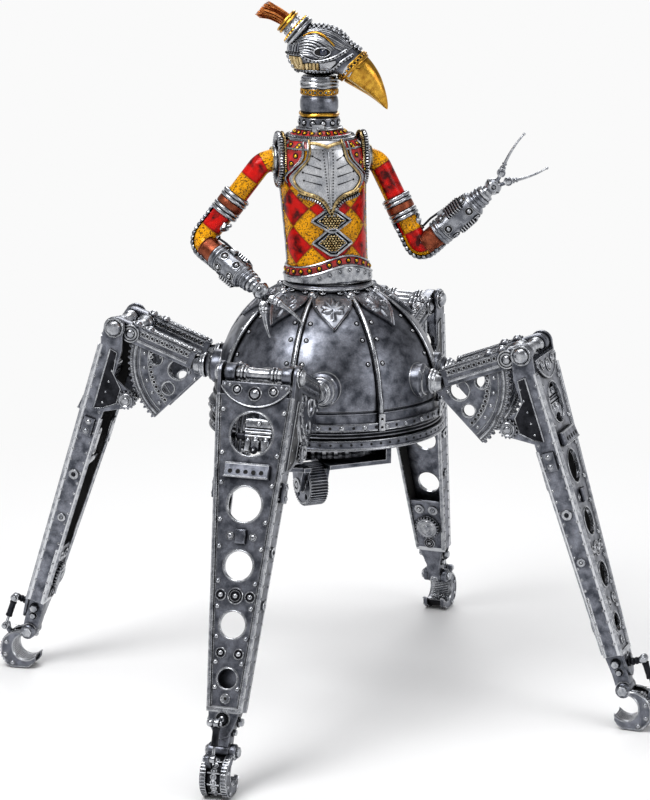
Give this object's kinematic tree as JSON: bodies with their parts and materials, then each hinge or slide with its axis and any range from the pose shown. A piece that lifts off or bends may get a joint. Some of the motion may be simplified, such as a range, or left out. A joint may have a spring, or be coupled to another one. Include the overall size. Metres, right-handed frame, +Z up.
{
  "type": "mechanical robot figure",
  "caption": "Bird-headed mechanical figure whose trunk swivels on a domed carriage with jointed clawed legs.",
  "frame": {"origin": "middle of the stance on the ground, under the carriage", "axes": "+Z up, -Y the way the walker faces, +X the walker's left"},
  "size_m": [0.3724, 0.3338, 0.4808],
  "materials": {
    "gunmetal": "aged gunmetal, worn edges",
    "steel": "polished steel, dark in the recesses",
    "dark_steel": "blackened steel",
    "enamel": "red and ochre enamel, speckled",
    "gold": "polished gold-coloured metal",
    "bristle": "copper-coloured bristles"
  },
  "bodies": {
    "chassis": {"dome_shell": "gunmetal", "rib_cage": "steel", "rim_band": "gunmetal", "leaf_collar": "steel", "base_plate": "dark_steel", "gear_case": "gunmetal", "thigh_frame_front_left": "gunmetal", "knee_axle_front_left": "steel", "thigh_frame_front_right": "gunmetal", "knee_axle_front_right": "steel", "thigh_frame_rear_left": "gunmetal", "knee_axle_rear_left": "steel", "thigh_frame_rear_right": "gunmetal", "knee_axle_rear_right": "steel"},
    "main_gear": {"main_gear": "steel"},
    "drive_pinion": {"drive_pinion": "steel"},
    "drum_wheel": {"drum_wheel": "steel"},
    "shank_front_left": {"shank_frame_front_left": "gunmetal"},
    "pinion_front_left": {"sector_pinion_front_left": "steel"},
    "claw_front_left": {"claw_front_left": "gunmetal"},
    "ram_cylinder_front_left": {"ram_cylinder_front_left": "dark_steel"},
    "ram_rod_front_left": {"ram_rod_front_left": "steel"},
    "shank_front_right": {"shank_frame_front_right": "gunmetal"},
    "pinion_front_right": {"sector_pinion_front_right": "steel"},
    "claw_front_right": {"claw_front_right": "gunmetal"},
    "ram_cylinder_front_right": {"ram_cylinder_front_right": "dark_steel"},
    "ram_rod_front_right": {"ram_rod_front_right": "steel"},
    "shank_rear_left": {"shank_frame_rear_left": "gunmetal"},
    "pinion_rear_left": {"sector_pinion_rear_left": "steel"},
    "claw_rear_left": {"claw_rear_left": "gunmetal"},
    "ram_cylinder_rear_left": {"ram_cylinder_rear_left": "dark_steel"},
    "ram_rod_rear_left": {"ram_rod_rear_left": "steel"},
    "shank_rear_right": {"shank_frame_rear_right": "gunmetal"},
    "pinion_rear_right": {"sector_pinion_rear_right": "steel"},
    "claw_rear_right": {"claw_rear_right": "gunmetal"},
    "ram_cylinder_rear_right": {"ram_cylinder_rear_right": "dark_steel"},
    "ram_rod_rear_right": {"ram_rod_rear_right": "steel"},
    "trunk": {"trunk_shell": "enamel", "waist_belt": "enamel", "breastplate": "steel", "gorget": "steel", "neck_column": "steel", "shoulder_ring_right": "steel", "shoulder_ring_left": "steel"},
    "head": {"head_shell": "gunmetal", "beak": "gold", "crest_socket": "steel", "plume": "bristle"},
    "arm_right": {"upper_arm_right": "enamel", "elbow_clamp_right": "steel", "gauntlet_right": "gunmetal"},
    "palm_right": {"palm_right": "steel"},
    "finger_a_right": {"finger_a_right": "steel"},
    "finger_b_right": {"finger_b_right": "steel"},
    "arm_left": {"upper_arm_left": "enamel", "elbow_clamp_left": "steel", "gauntlet_left": "gunmetal"},
    "palm_left": {"palm_left": "steel"},
    "finger_a_left": {"finger_a_left": "steel"},
    "finger_b_left": {"finger_b_left": "steel"}
  },
  "joints": [
    {"name": "main_gear_spin", "type": "hinge", "parent": "chassis", "child": "main_gear", "pos_m": [0, 0.00873, 0.178], "axis": [0, 0, 1], "continuous": true},
    {"name": "drive_pinion_spin", "type": "hinge", "parent": "chassis", "child": "drive_pinion", "pos_m": [-0.03373, -0.01074, 0.178], "axis": [0, 0, 1], "continuous": true},
    {"name": "drum_wheel_spin", "type": "hinge", "parent": "chassis", "child": "drum_wheel", "pos_m": [-0.013, 0.00673, 0.151], "axis": [1, 0, 0], "continuous": true},
    {"name": "knee_front_left", "type": "hinge", "parent": "chassis", "child": "shank_front_left", "pos_m": [0.10003, -0.09485, 0.2557], "axis": [-0.7193, -0.6947, 0], "range_deg": [0, 25]},
    {"name": "sector_pinion_spin_front_left", "type": "hinge", "parent": "shank_front_left", "child": "pinion_front_left", "pos_m": [0.09447, -0.0891, 0.20499], "axis": [-0.7193, -0.6947, 0], "continuous": true},
    {"name": "ankle_front_left", "type": "hinge", "parent": "shank_front_left", "child": "claw_front_left", "pos_m": [0.1498, -0.1464, 0.02706], "axis": [-0.7193, -0.6947, 0], "range_deg": [-10, 10]},
    {"name": "ram_swing_front_left", "type": "hinge", "parent": "shank_front_left", "child": "ram_cylinder_front_left", "pos_m": [0.15808, -0.15497, 0.04924], "axis": [-0.7193, -0.6947, 0], "range_deg": [-15, 15]},
    {"name": "ram_stroke_front_left", "type": "slide", "parent": "ram_cylinder_front_left", "child": "ram_rod_front_left", "axis": [0.2295, -0.2377, -0.9438], "range_m": [-0.0045, 0.0045]},
    {"name": "knee_front_right", "type": "hinge", "parent": "chassis", "child": "shank_front_right", "pos_m": [-0.10003, -0.09485, 0.2557], "axis": [-0.7193, 0.6947, 0], "range_deg": [0, 25]},
    {"name": "sector_pinion_spin_front_right", "type": "hinge", "parent": "shank_front_right", "child": "pinion_front_right", "pos_m": [-0.09447, -0.0891, 0.20499], "axis": [-0.7193, 0.6947, 0], "continuous": true},
    {"name": "ankle_front_right", "type": "hinge", "parent": "shank_front_right", "child": "claw_front_right", "pos_m": [-0.1498, -0.1464, 0.02706], "axis": [-0.7193, 0.6947, 0], "range_deg": [-10, 10]},
    {"name": "ram_swing_front_right", "type": "hinge", "parent": "shank_front_right", "child": "ram_cylinder_front_right", "pos_m": [-0.15808, -0.15497, 0.04924], "axis": [-0.7193, 0.6947, 0], "range_deg": [-15, 15]},
    {"name": "ram_stroke_front_right", "type": "slide", "parent": "ram_cylinder_front_right", "child": "ram_rod_front_right", "axis": [-0.2295, -0.2377, -0.9438], "range_m": [-0.0045, 0.0045]},
    {"name": "knee_rear_left", "type": "hinge", "parent": "chassis", "child": "shank_rear_left", "pos_m": [0.11031, 0.10129, 0.2557], "axis": [0.6428, -0.766, 0], "range_deg": [0, 25]},
    {"name": "sector_pinion_spin_rear_left", "type": "hinge", "parent": "shank_rear_left", "child": "pinion_rear_left", "pos_m": [0.10418, 0.09615, 0.20499], "axis": [0.6428, -0.766, 0], "continuous": true},
    {"name": "ankle_rear_left", "type": "hinge", "parent": "shank_rear_left", "child": "claw_rear_left", "pos_m": [0.1652, 0.14735, 0.02706], "axis": [0.6428, -0.766, 0], "range_deg": [-10, 10]},
    {"name": "ram_swing_rear_left", "type": "hinge", "parent": "shank_rear_left", "child": "ram_cylinder_rear_left", "pos_m": [0.17432, 0.15501, 0.04924], "axis": [0.6428, -0.766, 0], "range_deg": [-15, 15]},
    {"name": "ram_stroke_rear_left", "type": "slide", "parent": "ram_cylinder_rear_left", "child": "ram_rod_rear_left", "axis": [0.2531, 0.2124, -0.9438], "range_m": [-0.0045, 0.0045]},
    {"name": "knee_rear_right", "type": "hinge", "parent": "chassis", "child": "shank_rear_right", "pos_m": [-0.11031, 0.10129, 0.2557], "axis": [0.6428, 0.766, 0], "range_deg": [0, 25]},
    {"name": "sector_pinion_spin_rear_right", "type": "hinge", "parent": "shank_rear_right", "child": "pinion_rear_right", "pos_m": [-0.10418, 0.09615, 0.20499], "axis": [0.6428, 0.766, 0], "continuous": true},
    {"name": "ankle_rear_right", "type": "hinge", "parent": "shank_rear_right", "child": "claw_rear_right", "pos_m": [-0.1652, 0.14735, 0.02706], "axis": [0.6428, 0.766, 0], "range_deg": [-10, 10]},
    {"name": "ram_swing_rear_right", "type": "hinge", "parent": "shank_rear_right", "child": "ram_cylinder_rear_right", "pos_m": [-0.17432, 0.15501, 0.04924], "axis": [0.6428, 0.766, 0], "range_deg": [-15, 15]},
    {"name": "ram_stroke_rear_right", "type": "slide", "parent": "ram_cylinder_rear_right", "child": "ram_rod_rear_right", "axis": [-0.2531, 0.2124, -0.9438], "range_m": [-0.0045, 0.0045]},
    {"name": "waist_swivel", "type": "hinge", "parent": "chassis", "child": "trunk", "pos_m": [0, 0.00873, 0.2925], "axis": [0, 0, 1], "range_deg": [-45, 45]},
    {"name": "neck_swivel", "type": "hinge", "parent": "trunk", "child": "head", "pos_m": [-0.00639, 0.01197, 0.431], "axis": [0, 0, 1], "range_deg": [-140, 10]},
    {"name": "shoulder_right", "type": "hinge", "parent": "trunk", "child": "arm_right", "pos_m": [-0.03496, 0.01962, 0.375], "axis": [-0.9668, 0.2554, 0], "range_deg": [0, 60]},
    {"name": "wrist_right", "type": "hinge", "parent": "arm_right", "child": "palm_right", "pos_m": [-0.06297, -0.00256, 0.2965], "axis": [0.3666, -0.8133, -0.4518], "range_deg": [-20, 14]},
    {"name": "finger_a_right_hinge", "type": "hinge", "parent": "palm_right", "child": "finger_a_right", "pos_m": [-0.05954, -0.01439, 0.28284], "axis": [-0.577, -0.7424, 0.3406], "range_deg": [-10, 12]},
    {"name": "finger_b_right_hinge", "type": "hinge", "parent": "palm_right", "child": "finger_b_right", "pos_m": [-0.05403, -0.01685, 0.28679], "axis": [-0.577, -0.7424, 0.3406], "range_deg": [-12, 10]},
    {"name": "shoulder_left", "type": "hinge", "parent": "trunk", "child": "arm_left", "pos_m": [0.02499, 0.00378, 0.375], "axis": [-0.9668, 0.2554, 0], "range_deg": [-25, 45]},
    {"name": "wrist_left", "type": "hinge", "parent": "arm_left", "child": "palm_left", "pos_m": [0.08879, -0.04514, 0.3524], "axis": [0.5792, -0.4496, 0.68], "range_deg": [-60, 60]},
    {"name": "finger_a_left_hinge", "type": "hinge", "parent": "palm_left", "child": "finger_a_left", "pos_m": [0.09882, -0.05127, 0.36772], "axis": [0.4234, 0.9058, -0.0163], "range_deg": [-10, 12]},
    {"name": "finger_b_left_hinge", "type": "hinge", "parent": "palm_left", "child": "finger_b_left", "pos_m": [0.1031, -0.05337, 0.36199], "axis": [0.4234, 0.9058, -0.0163], "range_deg": [-12, 10]}
  ],
  "couplings": [
    {"joint": "drive_pinion_spin", "follows": "main_gear_spin", "ratio": -4},
    {"joint": "ram_swing_front_left", "follows": "ankle_front_left", "ratio": 0.24115},
    {"joint": "ram_stroke_front_left", "follows": "ankle_front_left", "m_per_rad": -0.018546},
    {"joint": "ram_swing_front_right", "follows": "ankle_front_right", "ratio": 0.24115},
    {"joint": "ram_stroke_front_right", "follows": "ankle_front_right", "m_per_rad": -0.018546},
    {"joint": "ram_swing_rear_left", "follows": "ankle_rear_left", "ratio": 0.24115},
    {"joint": "ram_stroke_rear_left", "follows": "ankle_rear_left", "m_per_rad": -0.018546},
    {"joint": "ram_swing_rear_right", "follows": "ankle_rear_right", "ratio": 0.24115},
    {"joint": "ram_stroke_rear_right", "follows": "ankle_rear_right", "m_per_rad": -0.018546}
  ]
}
